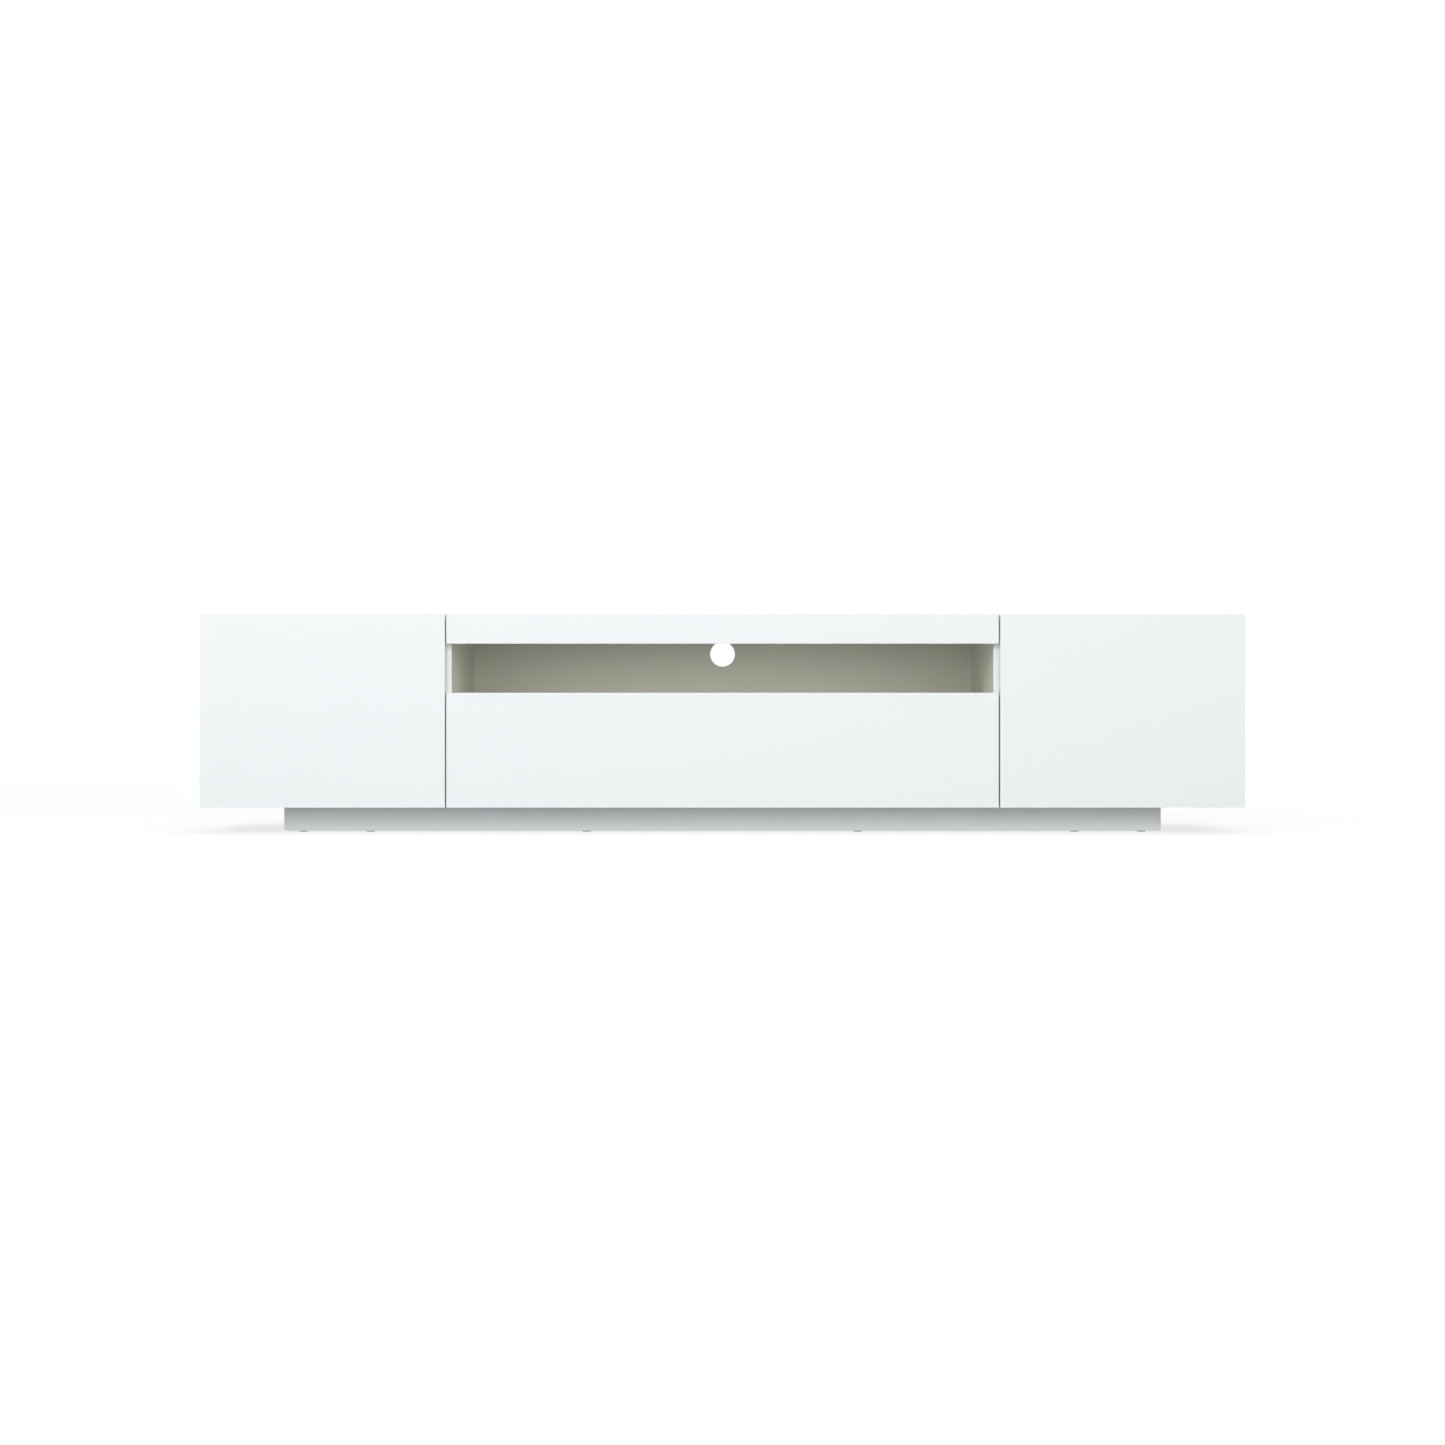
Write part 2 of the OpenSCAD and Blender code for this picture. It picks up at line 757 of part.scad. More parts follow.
module hinge_plate_screws() {
  color(steel) for (h = concat(left_hinges, right_hinges, flap_hinges))
    at(h) plate_screw_sites() screw(euro_screw);
}

module left_hinge_links() {
  color(zinc) for (h = left_hinges) at(h) hinge_link();
}

module right_hinge_links() {
  color(zinc) for (h = right_hinges) at(h) hinge_link();
}

module flap_hinge_links() {
  color(zinc) for (h = flap_hinges) at(h) hinge_link();
}

module left_hinge_cups() {
  color(steel) for (h = left_hinges) at(h) hinge_cup();
}

module right_hinge_cups() {
  color(steel) for (h = right_hinges) at(h) hinge_cup();
}

module flap_hinge_cups() {
  color(steel) for (h = flap_hinges) at(h) hinge_cup();
}

module left_cup_screws() {
  color(zinc) for (h = left_hinges) at(h) cup_screw_sites() screw(small_screw);
}

module right_cup_screws() {
  color(zinc) for (h = right_hinges) at(h) cup_screw_sites() screw(small_screw);
}

// ---- Fronts ----
module front(lo_x, hi_x, hi_z, hinges) {
  difference() {
    slab([lo_x, front_y, plinth_h], [hi_x, front_in_y, hi_z]);
    for (h = hinges) at(h) cup_cut();
    children();
  }
}

module left_door() {
  color(lacquer) front(-half_w, -door_half_x, body_h, left_hinges);
}

module right_door() {
  color(lacquer) front(door_half_x, half_w, body_h, right_hinges);
}

module flap_door() {
  color(lacquer) front(-front_half_w, front_half_w, flap_top_z, flap_hinges)
    lug_screw_sites() screw_hole(small_screw, fit);
}

// ---- Flap stays ----
// The path of the track follows the stay arm's end pin through the flap's whole swing
function turned(v, a) = [v[0] * cos(a) - v[1] * sin(a), v[0] * sin(a) + v[1] * cos(a)];
function pin_b_at(a) = pin_a + turned(pin_b - pin_a, -link_share * a);
function pivot_at(a) = pin_b_at(a) + turned(stay_pivot - pin_b, a);
function track_pin_at(a) = pivot_at(a) + turned([0, -stay_len], stay_turn * a / flap_open);
function track_point(i) = track_pin_at(flap_open * i / track_steps);
function track_side(i) = let (d = track_point(i + 0.1) - track_point(i - 0.1)) [-d[1], d[0]] / norm(d);

module in_flap_frame() {
  for (s = [0, 1]) mirror([s, 0, 0]) translate([0, carcass_y, plinth_h]) rotate([180, -90, 0])
    children();
}

module track_band(half) {
  polygon(concat(
    [for (i = [0 : track_steps]) track_point(i) + half * track_side(i)],
    [for (i = [track_steps : -1 : 0]) track_point(i) - half * track_side(i)]
  ));
  for (i = [0, track_steps]) translate(track_point(i)) circle(half);
}

function tab_point(i) = track_point(i) + tab_drop * track_side(i);

module track_tab_sites() {
  for (i = track_tabs) translate(tab_point(i)) children();
}

// Heads sunk into the track plate's open face, which is on the niche side of the partition
module track_screw_sites() {
  in_flap_frame() translate([0, 0, part_in - track_t + track_screw[3]]) track_tab_sites()
    rotate([180, 0, 0]) children();
}

module track_screw_holes() {
  track_screw_sites() screw_hole(track_screw, fit);
}

module stay_tracks() {
  color(steel) difference() {
    in_flap_frame() translate([0, 0, part_in - track_t]) linear_extrude(track_t) difference() {
      union() {
        track_band(track_pin_r + track_margin);
        for (i = track_tabs) {
          bar(track_point(i), tab_point(i), tab_r);
          translate(tab_point(i)) circle(tab_r);
        }
      }
      track_band(track_pin_r + track_play);
    }
    track_screw_sites() {
      screw_hole(track_screw, 0);
      rod(track_screw[2] + fit, 0, track_screw[3] + cut);
    }
  }
}

module stay_track_screws() {
  color(zinc) track_screw_sites() screw(track_screw);
}

module stay_arms() {
  color(steel) in_flap_frame() {
    translate([0, 0, stay_bar_z]) linear_extrude(stay_bar_t) difference() {
      union() {
        bar(stay_pivot, track_point(0), stay_bar_half);
        for (p = [stay_pivot, track_point(0)]) translate(p) circle(stay_end_r);
      }
      translate(stay_pivot) circle(stay_pivot_r + fit);
    }
    translate(track_point(0)) rod(track_pin_r, stay_bar_z, part_in - track_pin_gap);
  }
}

module lug_screw_sites() {
  in_flap_frame() for (s = [-1, 1])
    translate([stay_pivot[0] + s * lug_hole_step, front_gap - lug_plate_t, lug_z - lug_hole_in + lug_t])
      rotate([90, 0, 0]) children();
}

module stay_brackets() {
  color(steel) difference() {
    in_flap_frame() {
      translate([0, 0, lug_z]) linear_extrude(lug_t) union() {
        translate(stay_pivot) circle(lug_half);
        translate([stay_pivot[0] - lug_half, stay_pivot[1]])
          square([2 * lug_half, front_gap - stay_pivot[1]]);
      }
      slab([stay_pivot[0] - lug_plate_half, front_gap - lug_plate_t, lug_z + lug_t - lug_plate_w],
           [stay_pivot[0] + lug_plate_half, front_gap, lug_z + lug_t]);
      translate(stay_pivot) rod(stay_pivot_r, lug_z, stay_bar_z + stay_bar_t + lug_gap);
    }
    lug_screw_sites() screw_hole(small_screw, 0);
  }
}

module flap_screws() {
  color(zinc) {
    for (h = flap_hinges) at(h) cup_screw_sites() screw(small_screw);
    lug_screw_sites() screw(small_screw);
  }
}

// ---- Push latches ----
module latch_peg_holes(latches) {
  for (l = latches) for (y = latch_peg_ys) translate([l[0], carcass_y + latch_setback + y, l[1]])
    rod(latch_peg_r + fit, -cut, latch_peg_len + fit);
}

module latch_housings() {
  y0 = carcass_y + latch_setback;
  color(grey) for (l = concat(left_latches, right_latches, flap_latches)) {
    difference() {
      slab([l[0] - latch_w / 2, y0, l[1] - latch_w], [l[0] + latch_w / 2, y0 + latch_len, l[1]]);
      rod_y(plunger_r + plunger_play, l[0], y0 - cut, y0 + plunger_bore_len, l[1] - latch_w / 2);
    }
    for (y = latch_peg_ys) translate([l[0], y0 + y, l[1]]) rod(latch_peg_r, 0, latch_peg_len);
  }
}

module plungers(latches) {
  tip_y = front_in_y + strike_t + strike_play;
  for (l = latches) translate([l[0], tip_y, l[1] - latch_w / 2]) rotate([-90, 0, 0]) {
    cylinder(r1 = plunger_r - plunger_tip, r2 = plunger_r, h = plunger_tip);
    rod(plunger_r, plunger_tip, carcass_y + latch_setback + plunger_tail - tip_y);
  }
}

module strike_plates(latches) {
  for (l = latches) rod_y(strike_r, l[0], front_in_y, front_in_y + strike_t, l[1] - latch_w / 2);
}

module bumpers(places) {
  for (p = places) rod_y(bumper_r, p[0], front_in_y, front_in_y + bumper_t, p[1]);
}

module left_latch_plunger() {
  color(grey) plungers(left_latches);
}

module right_latch_plunger() {
  color(grey) plungers(right_latches);
}

module flap_latch_plungers() {
  color(grey) plungers(flap_latches);
}

module left_strike_plate() {
  color(steel) strike_plates(left_latches);
}

module right_strike_plate() {
  color(steel) strike_plates(right_latches);
}

module flap_strike_plates() {
  color(steel) strike_plates(flap_latches);
}

module left_bumpers() {
  color(clear) bumpers(left_bumpers);
}

module right_bumpers() {
  color(clear) bumpers(right_bumpers);
}

module flap_bumpers() {
  color(clear) bumpers(flap_bumpers);
}

// ---- Output ----
top_panel();
bottom_panel();
left_side_panel();
right_side_panel();
left_partition();
right_partition();
niche_floor();
niche_fascia();
left_back_panel();
centre_back_panel();
right_back_panel();
plinth_front();
plinth_back();
plinth_left();
plinth_right();
plinth_cross_rails();
plinth_glides();
plinth_brackets();
plinth_screws();
left_shelf();
right_shelf();
shelf_pins();
cam_locks();
cam_bolts();
dowels();
left_hinge_plates();
right_hinge_plates();
flap_hinge_plates();
left_hinge_arms();
right_hinge_arms();
flap_hinge_arms();
hinge_plate_screws();
left_hinge_links();
right_hinge_links();
flap_hinge_links();
left_door();
left_hinge_cups();
left_cup_screws();
left_strike_plate();
left_bumpers();
right_door();
right_hinge_cups();
right_cup_screws();
right_strike_plate();
right_bumpers();
flap_door();
flap_hinge_cups();
flap_screws();
flap_strike_plates();
flap_bumpers();
stay_tracks();
stay_track_screws();
stay_arms();
stay_brackets();
latch_housings();
left_latch_plunger();
right_latch_plunger();
flap_latch_plungers();
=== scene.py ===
"""Looks of the low media cabinet: lacquer, melamine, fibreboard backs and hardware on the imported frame."""
import json
import math

import bpy
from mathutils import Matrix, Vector


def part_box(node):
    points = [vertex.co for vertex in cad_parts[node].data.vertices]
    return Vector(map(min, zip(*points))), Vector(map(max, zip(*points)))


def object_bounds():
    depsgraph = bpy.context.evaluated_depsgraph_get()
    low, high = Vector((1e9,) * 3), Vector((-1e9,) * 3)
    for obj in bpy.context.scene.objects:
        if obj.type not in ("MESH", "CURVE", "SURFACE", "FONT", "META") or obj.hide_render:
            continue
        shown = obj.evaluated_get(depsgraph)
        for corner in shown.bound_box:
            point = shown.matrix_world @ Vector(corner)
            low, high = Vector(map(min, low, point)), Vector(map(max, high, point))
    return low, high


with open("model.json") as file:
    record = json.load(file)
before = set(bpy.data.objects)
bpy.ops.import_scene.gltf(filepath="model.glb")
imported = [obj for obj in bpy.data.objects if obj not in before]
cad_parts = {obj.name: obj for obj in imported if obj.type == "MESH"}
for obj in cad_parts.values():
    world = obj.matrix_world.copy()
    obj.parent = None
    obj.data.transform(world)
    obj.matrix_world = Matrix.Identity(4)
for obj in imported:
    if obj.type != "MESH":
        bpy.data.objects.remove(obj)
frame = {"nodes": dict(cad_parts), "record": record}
cad_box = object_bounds()

MM = 0.001
WHITE = (1.0, 1.0, 1.0)

# ---- Which nodes carry which finish, from the record's own table ----
SLOT_OF = {part["node"]: part["material_slot"] for part in frame["record"]["subparts"]}

# ---- Places that the looks depend on ----
FRONT_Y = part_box("left_door")[0][1]
hole = next(m for m in frame["record"]["mounts"] if m["name"] == "cable_hole")
HOLE_X, _, HOLE_Z = hole["pos_m"]
HOLE_R = hole["dims"]["r_mm"] * MM

# ---- Material helpers ----

# Sockets of a Mix node that share one name: which ones carry colours and which ones numbers
COLOR_A, COLOR_B, COLOR_RESULT = 6, 7, 2
NUMBER_A, NUMBER_B, NUMBER_RESULT = 2, 3, 0


def new_material(name):
    """A material with a Principled shader; returns it with its node tree and that shader."""
    mat = bpy.data.materials.new(name)
    mat.use_nodes = True
    tree = mat.node_tree
    return mat, tree, tree.nodes["Principled BSDF"]


def set_sockets(shader, **values):
    """Sets the shader's own sockets; an underscore in a name stands for a blank."""
    for name, value in values.items():
        shader.inputs[name.replace("_", " ")].default_value = value


def object_space(tree, stretch=(1, 1, 1)):
    """Object coordinates in metres, stretched along the axes."""
    coords = tree.nodes.new("ShaderNodeTexCoord")
    mapping = tree.nodes.new("ShaderNodeMapping")
    mapping.inputs["Scale"].default_value = stretch
    tree.links.new(coords.outputs["Object"], mapping.inputs["Vector"])
    return mapping.outputs["Vector"]


def noise(tree, vector, scale, detail=2.0, roughness=0.5):
    """Noise from 0 to 1, with about scale bumps in each metre."""
    node = tree.nodes.new("ShaderNodeTexNoise")
    node.inputs["Scale"].default_value = scale
    node.inputs["Detail"].default_value = detail
    node.inputs["Roughness"].default_value = roughness
    tree.links.new(vector, node.inputs["Vector"])
    return node.outputs["Fac"]


def spread(tree, fac, low, high, start=0.3, end=0.7):
    """Maps a factor from start..end to low..high."""
    node = tree.nodes.new("ShaderNodeMapRange")
    for name, value in (("From Min", start), ("From Max", end), ("To Min", low), ("To Max", high)):
        node.inputs[name].default_value = value
    tree.links.new(fac, node.inputs["Value"])
    return node.outputs["Result"]


def mix_colors(tree, fac, first, second):
    """A colour between first and second, each a colour or an output."""
    node = tree.nodes.new("ShaderNodeMix")
    node.data_type = "RGBA"
    tree.links.new(fac, node.inputs["Factor"])
    for socket, value in ((node.inputs[COLOR_A], first), (node.inputs[COLOR_B], second)):
        if isinstance(value, tuple):
            socket.default_value = (*value, 1.0)
        else:
            tree.links.new(value, socket)
    return node.outputs[COLOR_RESULT]


def bump(tree, shader, heights):
    """Stacks bumps, each (height output, strength, distance in metres)."""
    last = None
    for height, strength, distance in heights:
        node = tree.nodes.new("ShaderNodeBump")
        node.inputs["Strength"].default_value = strength
        node.inputs["Distance"].default_value = distance
        tree.links.new(height, node.inputs["Height"])
        if last:
            tree.links.new(last, node.inputs["Normal"])
        last = node.outputs["Normal"]
    tree.links.new(last, shader.inputs["Normal"])


def math_node(tree, operation, first, second=0.0):
    """The result of one operation on two values, each a number or an output."""
    node = tree.nodes.new("ShaderNodeMath")
    node.operation = operation
    for socket, value in zip(node.inputs, (first, second)):
        if isinstance(value, (int, float)):
            socket.default_value = value
        else:
            tree.links.new(value, socket)
    return node.outputs["Value"]


def split_axes(tree, vector):
    """The X, Y and Z outputs of a vector."""
    node = tree.nodes.new("ShaderNodeSeparateXYZ")
    tree.links.new(vector, node.inputs["Vector"])
    return node.outputs


# ---- Materials ----


LACQUER_TONES = (0.862, 0.902, 0.915), (0.880, 0.908, 0.915)


def white_lacquer():
    """High-gloss lacquer with a faint orange peel and a trace of tone drift over a panel."""
    mat, tree, shader = new_material("white_gloss_lacquer")
    space = object_space(tree)
    drift = spread(tree, noise(tree, space, scale=1.6, detail=1.0), low=0.0, high=1.0)
    tone = mix_colors(tree, drift, *LACQUER_TONES)
    tree.links.new(tone, shader.inputs["Base Color"])
    smear = noise(tree, space, scale=9.0, detail=4.0, roughness=0.6)
    tree.links.new(spread(tree, smear, low=0.11, high=0.17), shader.inputs["Roughness"])
    peel = noise(tree, space, scale=420.0, detail=1.0)
    wave = noise(tree, space, scale=38.0, detail=1.0)
    bump(tree, shader, [(wave, 0.05, 0.2 * MM), (peel, 0.04, 0.05 * MM)])
    set_sockets(shader, IOR=1.5, Coat_Weight=0.5, Coat_Roughness=0.04, Coat_IOR=1.5)
    return mat


MELAMINE_TONES = (0.900, 0.900, 0.800), (0.912, 0.911, 0.815)
FLECK_TONE = (0.82, 0.82, 0.73)
FLECK_SHARE = 0.25
EDGE_BAND_AND_FRONT_LIGHT_TONE = (0.930, 0.936, 0.925)
# The whiter tone is partly edge banding and partly painted light on the faces that face the front lamps. It
# is full where the normal's Y is at the first value and gone at the second
PAINTED_FRONT_LIGHT_NORMAL_Y = (-0.9, -0.6)


def white_melamine():
    """Satin melamine with the fine pearl texture of coated board. It is whiter on the faces that face
    forward: partly edge banding, partly painted light from the front.
    """
    mat, tree, shader = new_material("white_satin_melamine")
    space = object_space(tree)
    drift = spread(tree, noise(tree, space, scale=2.2, detail=2.0), low=0.0, high=1.0)
    tone = mix_colors(tree, drift, *MELAMINE_TONES)
    fleck = spread(tree, noise(tree, space, scale=900.0, detail=1.0), low=0.0, high=1.0, start=0.62, end=0.72)
    tone = mix_colors(tree, math_node(tree, "MULTIPLY", fleck, FLECK_SHARE), tone, FLECK_TONE)
    normal = split_axes(tree, tree.nodes.new("ShaderNodeTexCoord").outputs["Normal"])
    # Painted light: faces that face forward get a whiter tone, partly for edge banding and partly to stand in
    # for light from the front
    painted_front_light = spread(tree, normal["Y"], 1.0, 0.0, *PAINTED_FRONT_LIGHT_NORMAL_Y)
    tone = mix_colors(tree, painted_front_light, tone, EDGE_BAND_AND_FRONT_LIGHT_TONE)
    tree.links.new(tone, shader.inputs["Base Color"])
    grain = noise(tree, space, scale=1300.0, detail=2.0)
    tree.links.new(spread(tree, grain, low=0.40, high=0.50), shader.inputs["Roughness"])
    bump(tree, shader, [(grain, 0.18, 0.06 * MM)])
    set_sockets(shader, IOR=1.47)
    return mat


FOIL_TONES = (0.900, 0.902, 0.785), (0.912, 0.914, 0.800)
FIBRE_TONES = (0.24, 0.150, 0.082), (0.36, 0.245, 0.148)
FOIL_ROUGHNESS = 0.5
FIBRE_ADDED_ROUGHNESS = 0.28
# Raw fibre fades in over these values of the normal's Y, and out over these gaps outside the hole's wall
RAW_NORMAL_Y = (0.4, 0.6)
RAW_RIM = (0.2 * MM, 0.5 * MM)


def back_board():
    """Thin fibreboard: white foil in front, raw brown fibre behind and inside the cable hole."""
    mat, tree, shader = new_material("fibreboard_back")
    space = object_space(tree)
    coords = tree.nodes.new("ShaderNodeTexCoord")
    behind = spread(tree, split_axes(tree, coords.outputs["Normal"])["Y"], 0.0, 1.0, *RAW_NORMAL_Y)
    place = split_axes(tree, coords.outputs["Object"])
    dx = math_node(tree, "SUBTRACT", place["X"], HOLE_X)
    dz = math_node(tree, "SUBTRACT", place["Z"], HOLE_Z)
    reach = math_node(tree, "SQRT", math_node(tree, "ADD", math_node(tree, "MULTIPLY", dx, dx),
                                              math_node(tree, "MULTIPLY", dz, dz)))
    rim = spread(tree, reach, 1.0, 0.0, *(HOLE_R + gap for gap in RAW_RIM))
    raw = math_node(tree, "MAXIMUM", behind, rim)
    fibre = noise(tree, space, scale=260.0, detail=5.0, roughness=0.65)
    brown = mix_colors(tree, spread(tree, fibre, low=0.0, high=1.0), *FIBRE_TONES)
    drift = spread(tree, noise(tree, space, scale=2.0, detail=1.0), low=0.0, high=1.0)
    foil = mix_colors(tree, drift, *FOIL_TONES)
    tree.links.new(mix_colors(tree, raw, foil, brown), shader.inputs["Base Color"])
    rough = math_node(tree, "ADD", math_node(tree, "MULTIPLY", raw, FIBRE_ADDED_ROUGHNESS), FOIL_ROUGHNESS)
    tree.links.new(rough, shader.inputs["Roughness"])
    bump(tree, shader, [(fibre, 0.12, 0.08 * MM)])
    return mat


# How far roughness runs below and above its middle value
METAL_ROUGHNESS_RUN = (-0.05, 0.07)
PLASTIC_ROUGHNESS_RUN = (-0.05, 0.05)


def metal(name, dark, light, rough, scale, stretch=(1, 1, 1), relief=0.08):
    """Metal with a slight tone change and a streaked or grainy roughness near rough."""
    mat, tree, shader = new_material(name)
    streaks = noise(tree, object_space(tree, stretch), scale, detail=3.0, roughness=0.6)
    tone = mix_colors(tree, spread(tree, streaks, low=0.0, high=1.0), dark, light)
    tree.links.new(tone, shader.inputs["Base Color"])
    roughness = spread(tree, streaks, *(rough + step for step in METAL_ROUGHNESS_RUN))
    tree.links.new(roughness, shader.inputs["Roughness"])
    bump(tree, shader, [(streaks, relief, 0.05 * MM)])
    set_sockets(shader, Metallic=1.0)
    return mat


BEECH_TONES = (0.50, 0.33, 0.18), (0.68, 0.49, 0.30)
GRAIN_ALONG_Z = (1.0, 1.0, 0.15)


def beech():
    """Turned beech with short dark flecks along the grain."""
    mat, tree, shader = new_material("beech_dowel")
    grain = noise(tree, object_space(tree, GRAIN_ALONG_Z), scale=420.0, detail=4.0, roughness=0.6)
    tone = mix_colors(tree, spread(tree, grain, low=0.0, high=1.0), *BEECH_TONES)
    tree.links.new(tone, shader.inputs["Base Color"])
    bump(tree, shader, [(grain, 0.2, 0.1 * MM)])
    set_sockets(shader, Roughness=0.6)
    return mat


def plastic(name, dark, light, rough, **extra):
    """Moulded plastic with a fine spark-eroded texture."""
    mat, tree, shader = new_material(name)
    space = object_space(tree)
    tone = mix_colors(tree, spread(tree, noise(tree, space, scale=40.0), low=0.0, high=1.0), dark, light)
    tree.links.new(tone, shader.inputs["Base Color"])
    grain = noise(tree, space, scale=1500.0, detail=2.0)
    roughness = spread(tree, grain, *(rough + step for step in PLASTIC_ROUGHNESS_RUN))
    tree.links.new(roughness, shader.inputs["Roughness"])
    bump(tree, shader, [(grain, 0.2, 0.05 * MM)])
    set_sockets(shader, **extra)
    return mat


MATERIALS = {
    "white_lacquer": white_lacquer(),
    "white_melamine": white_melamine(),
    "back_board": back_board(),
    "nickel_steel": metal("nickel_plated_steel", (0.56, 0.55, 0.52), (0.68, 0.67, 0.64), rough=0.25,
                          scale=160.0, stretch=(1, 1, 12)),
    "zinc": metal("cast_zinc", (0.42, 0.43, 0.45), (0.55, 0.56, 0.58), rough=0.42, scale=600.0, relief=0.2),
    "beech": beech(),
    "grey_plastic": plastic("grey_moulded_plastic", (0.40, 0.41, 0.42), (0.44, 0.45, 0.46), rough=0.5),
    "clear_bumper": plastic("clear_elastomer", (0.80, 0.82, 0.81), (0.84, 0.85, 0.84), rough=0.3,
                            Transmission_Weight=0.6, IOR=1.41),
}


# ---- Surfaces of the CAD nodes: welded, smooth where round, with eased edges ----
SMOOTH_BELOW = math.radians(30)
FLAT_BELOW = math.radians(0.5)
SHARP_ABOVE = math.radians(40)
WELD_DISTANCE = 0.002 * MM
# Width and segments of the rounded edges: the white boards by their finish, and everything else
BOARD_EDGES = {"white_lacquer": (0.9 * MM, 3), "white_melamine": (0.6 * MM, 2)}
OTHER_EDGES = (0.25 * MM, 2)


def smoothing_group():
    """Merges split corners and shades edges flatter than SMOOTH_BELOW smooth."""
    group = bpy.data.node_groups.new("smooth_round_faces", "GeometryNodeTree")
    group.interface.new_socket("Geometry", in_out="INPUT", socket_type="NodeSocketGeometry")
    group.interface.new_socket("Geometry", in_out="OUTPUT", socket_type="NodeSocketGeometry")
    nodes, links = group.nodes, group.links
    source = nodes.new("NodeGroupInput")
    result = nodes.new("NodeGroupOutput")
    strip = nodes.new("GeometryNodeRemoveAttribute")
    strip.inputs["Name"].default_value = "custom_normal"
    merge = nodes.new("GeometryNodeMergeByDistance")
    merge.inputs["Distance"].default_value = WELD_DISTANCE
    faces = nodes.new("GeometryNodeSetShadeSmooth")
    edges = nodes.new("GeometryNodeSetShadeSmooth")
    edges.domain = "EDGE"
    angle = nodes.new("GeometryNodeInputMeshEdgeAngle")
    flat = nodes.new("FunctionNodeCompare")
    flat.operation = "LESS_THAN"
    flat.inputs["B"].default_value = SMOOTH_BELOW
    links.new(angle.outputs["Unsigned Angle"], flat.inputs["A"])
    links.new(flat.outputs["Result"], edges.inputs["Shade Smooth"])
    chain = [source, strip, merge, faces, edges, result]
    for before, after in zip(chain, chain[1:]):
        links.new(before.outputs["Geometry"], after.inputs["Geometry"])
    return group


SMOOTHING = smoothing_group()


def ease(obj, width, segments):
    """Smooths round faces, joins flat ones and rounds the sharp edges by width."""
    smooth = obj.modifiers.new("smooth", "NODES")
    smooth.node_group = SMOOTHING
    dissolve = obj.modifiers.new("flat_faces", "DECIMATE")
    dissolve.decimate_type = "DISSOLVE"
    dissolve.angle_limit = FLAT_BELOW
    edge = obj.modifiers.new("eased_edges", "BEVEL")
    edge.width = width
    edge.segments = segments
    edge.limit_method = "ANGLE"
    edge.angle_limit = SHARP_ABOVE
    edge.harden_normals = True
    edge.miter_outer = "MITER_ARC"


for name, obj in frame["nodes"].items():
    slot = SLOT_OF[name]
    obj.data.materials.clear()
    obj.data.materials.append(MATERIALS[slot])
    ease(obj, *BOARD_EDGES.get(slot, OTHER_EDGES))


# ---- Floor ----
FLOOR_SIZE = 60.0
FLOOR_TONES = (0.325, 0.33, 0.33), (0.335, 0.34, 0.338)
# Added to the lit floor where it is seen, so that it comes near white and its shadows stay faint
FLOOR_GLOW = 0.71
# Distances from the middle where the fade to plain white starts and ends
FLOOR_FADE = (1.9, 4.2)


def seen_directly(tree):
    """1 for camera, mirror and glass rays, 0 for the rays that carry light between surfaces."""
    path = tree.nodes.new("ShaderNodeLightPath")
    seen = math_node(tree, "MAXIMUM", path.outputs["Is Camera Ray"], path.outputs["Is Glossy Ray"])
    return math_node(tree, "MAXIMUM", seen, path.outputs["Is Transmission Ray"])


def floor_material():
    """Pale matt floor that keeps shadows near the cabinet and fades to plain white further out."""
    mat, tree, shader = new_material("pale_floor")
    space = object_space(tree)
    drift = spread(tree, noise(tree, space, scale=3.0), low=0.0, high=1.0)
    tone = mix_colors(tree, drift, *FLOOR_TONES)
    tree.links.new(tone, shader.inputs["Base Color"])
    set_sockets(shader, Roughness=0.9, Specular_IOR_Level=0.1)
    seen = seen_directly(tree)
    glow = tree.nodes.new("ShaderNodeEmission")
    tree.links.new(math_node(tree, "MULTIPLY", seen, FLOOR_GLOW), glow.inputs["Strength"])
    near = tree.nodes.new("ShaderNodeAddShader")
    tree.links.new(shader.outputs["BSDF"], near.inputs[0])
    tree.links.new(glow.outputs["Emission"], near.inputs[1])
    distance = tree.nodes.new("ShaderNodeVectorMath")
    distance.operation = "LENGTH"
    tree.links.new(space, distance.inputs[0])
    far = tree.nodes.new("ShaderNodeEmission")
    blend = tree.nodes.new("ShaderNodeMixShader")
    fade = spread(tree, distance.outputs["Value"], 0.0, 1.0, *FLOOR_FADE)
    tree.links.new(math_node(tree, "MULTIPLY", fade, seen), blend.inputs["Fac"])
    tree.links.new(near.outputs["Shader"], blend.inputs[1])
    tree.links.new(far.outputs["Emission"], blend.inputs[2])
    tree.links.new(blend.outputs["Shader"], tree.nodes["Material Output"].inputs["Surface"])
    return mat


bpy.ops.mesh.primitive_plane_add(size=FLOOR_SIZE, location=(0, 0, cad_box[0][2]))
floor = bpy.context.object
floor.name = "floor"
floor.data.materials.append(floor_material())


# ---- Light ----
HORIZON_LIGHT = 0.35
ZENITH_LIGHT = 0.45
# Height of the direction, as a sine, where the zenith's value is reached
ZENITH_FROM = 0.8


def softbox(name, place, target, size, radiance):
    """A rectangular lamp that lights surfaces but isn't mirrored in them.

    A mirrored lamp would add to the white world behind it, and the gloss would clip. White paint at the
    target, facing the lamp, renders at about radiance; a lamp as large as its distance gives less.
    """
    data = bpy.data.lights.new(name, "AREA")
    data.shape = "RECTANGLE"
    data.size, data.size_y = size
    toward = Vector(target) - Vector(place)
    data.energy = radiance * math.pi**2 * toward.length_squared
    lamp = bpy.data.objects.new(name, data)
    lamp.location = place
    lamp.rotation_euler = toward.to_track_quat("-Z", "Y").to_euler()
    lamp.visible_camera = False
    lamp.visible_glossy = False
    bpy.context.scene.collection.objects.link(lamp)


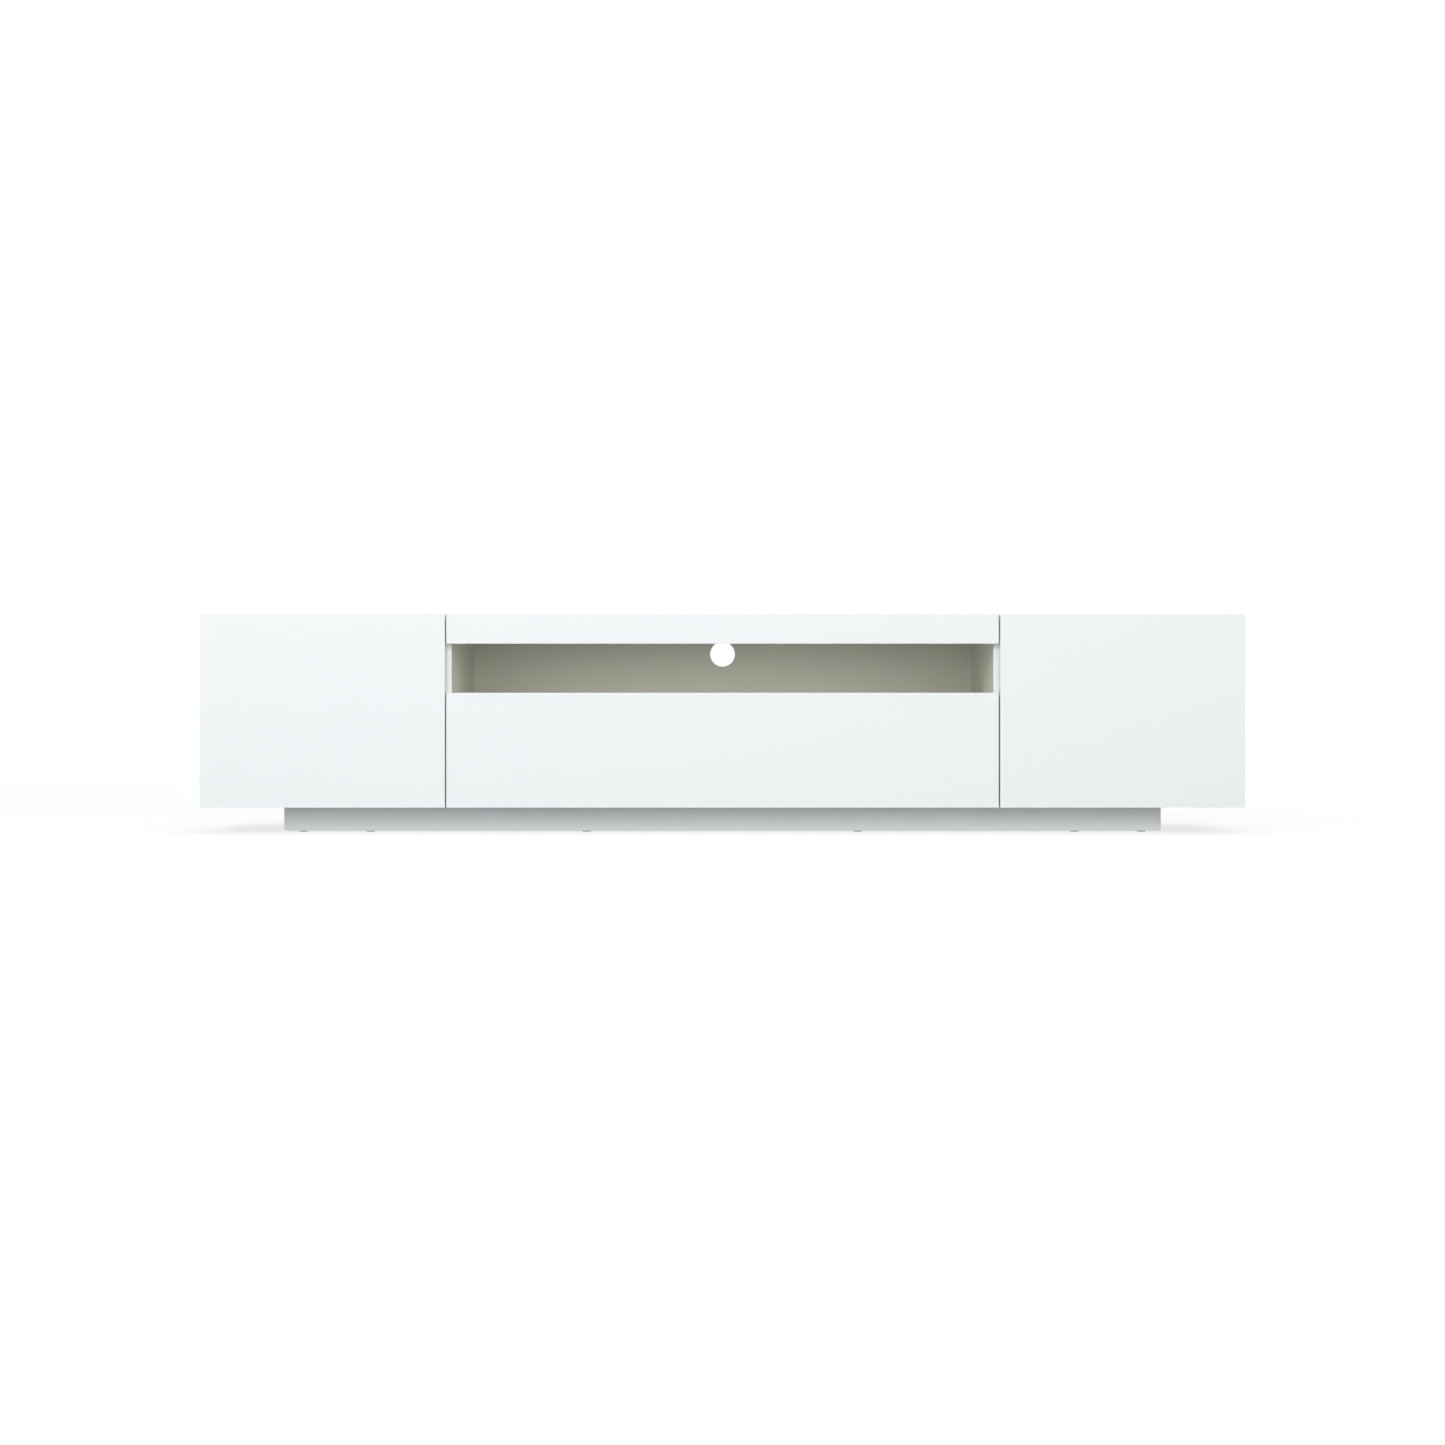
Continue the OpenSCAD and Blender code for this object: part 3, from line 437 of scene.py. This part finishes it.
def studio_world():
    """White where it is seen or mirrored; as light, dimmer near the horizon than overhead."""
    world = bpy.data.worlds.new("studio")
    world.use_nodes = True
    tree = world.node_tree
    direction = split_axes(tree, tree.nodes.new("ShaderNodeTexCoord").outputs["Generated"])
    dome = spread(tree, direction["Z"], HORIZON_LIGHT, ZENITH_LIGHT, start=0.0, end=ZENITH_FROM)
    strength = tree.nodes.new("ShaderNodeMix")
    tree.links.new(seen_directly(tree), strength.inputs["Factor"])
    tree.links.new(dome, strength.inputs[NUMBER_A])
    strength.inputs[NUMBER_B].default_value = 1.0
    tree.links.new(strength.outputs[NUMBER_RESULT], tree.nodes["Background"].inputs["Strength"])
    tree.nodes["Background"].inputs["Color"].default_value = (*WHITE, 1.0)
    return world


# The broad front lamp reaches into the niche and under the fronts
softbox("front", place=(0.0, -4.6, 1.6), target=(0.0, -0.2, 1.6), size=(11.0, 3.1), radiance=1.00)
softbox("key", place=(-1.3, -3.2, 2.2), target=(-0.35, -0.2, 0.25), size=(2.4, 1.4), radiance=0.22)
softbox("fill", place=(2.2, -3.8, 2.0), target=(0.5, -0.2, 0.2), size=(2.4, 1.6), radiance=0.04)
softbox("overhead", place=(0.0, 0.4, 2.8), target=(0.0, 0.1, 0.3), size=(3.0, 1.6), radiance=0.15)
softbox("rear", place=(0.6, 3.6, 1.8), target=(0.0, 0.2, 0.3), size=(3.0, 1.8), radiance=0.30)
bpy.context.scene.world = studio_world()

# ---- Camera: square on to the fronts, level, from about four metres ----
CAMERA_DISTANCE = 4.055
CAMERA_HEIGHT = 0.213
CAMERA_LENS = 52.8
CAMERA_SENSOR = 36.0
camera_data = bpy.data.cameras.new("camera")
camera_data.lens = CAMERA_LENS
camera_data.sensor_width = CAMERA_SENSOR
camera = bpy.data.objects.new("camera", camera_data)
camera.location = (0.0, FRONT_Y - CAMERA_DISTANCE, CAMERA_HEIGHT)
camera.rotation_euler = (math.radians(90), 0.0, 0.0)
bpy.context.scene.collection.objects.link(camera)
bpy.context.scene.camera = camera
bpy.context.scene.view_settings.view_transform = "Standard"
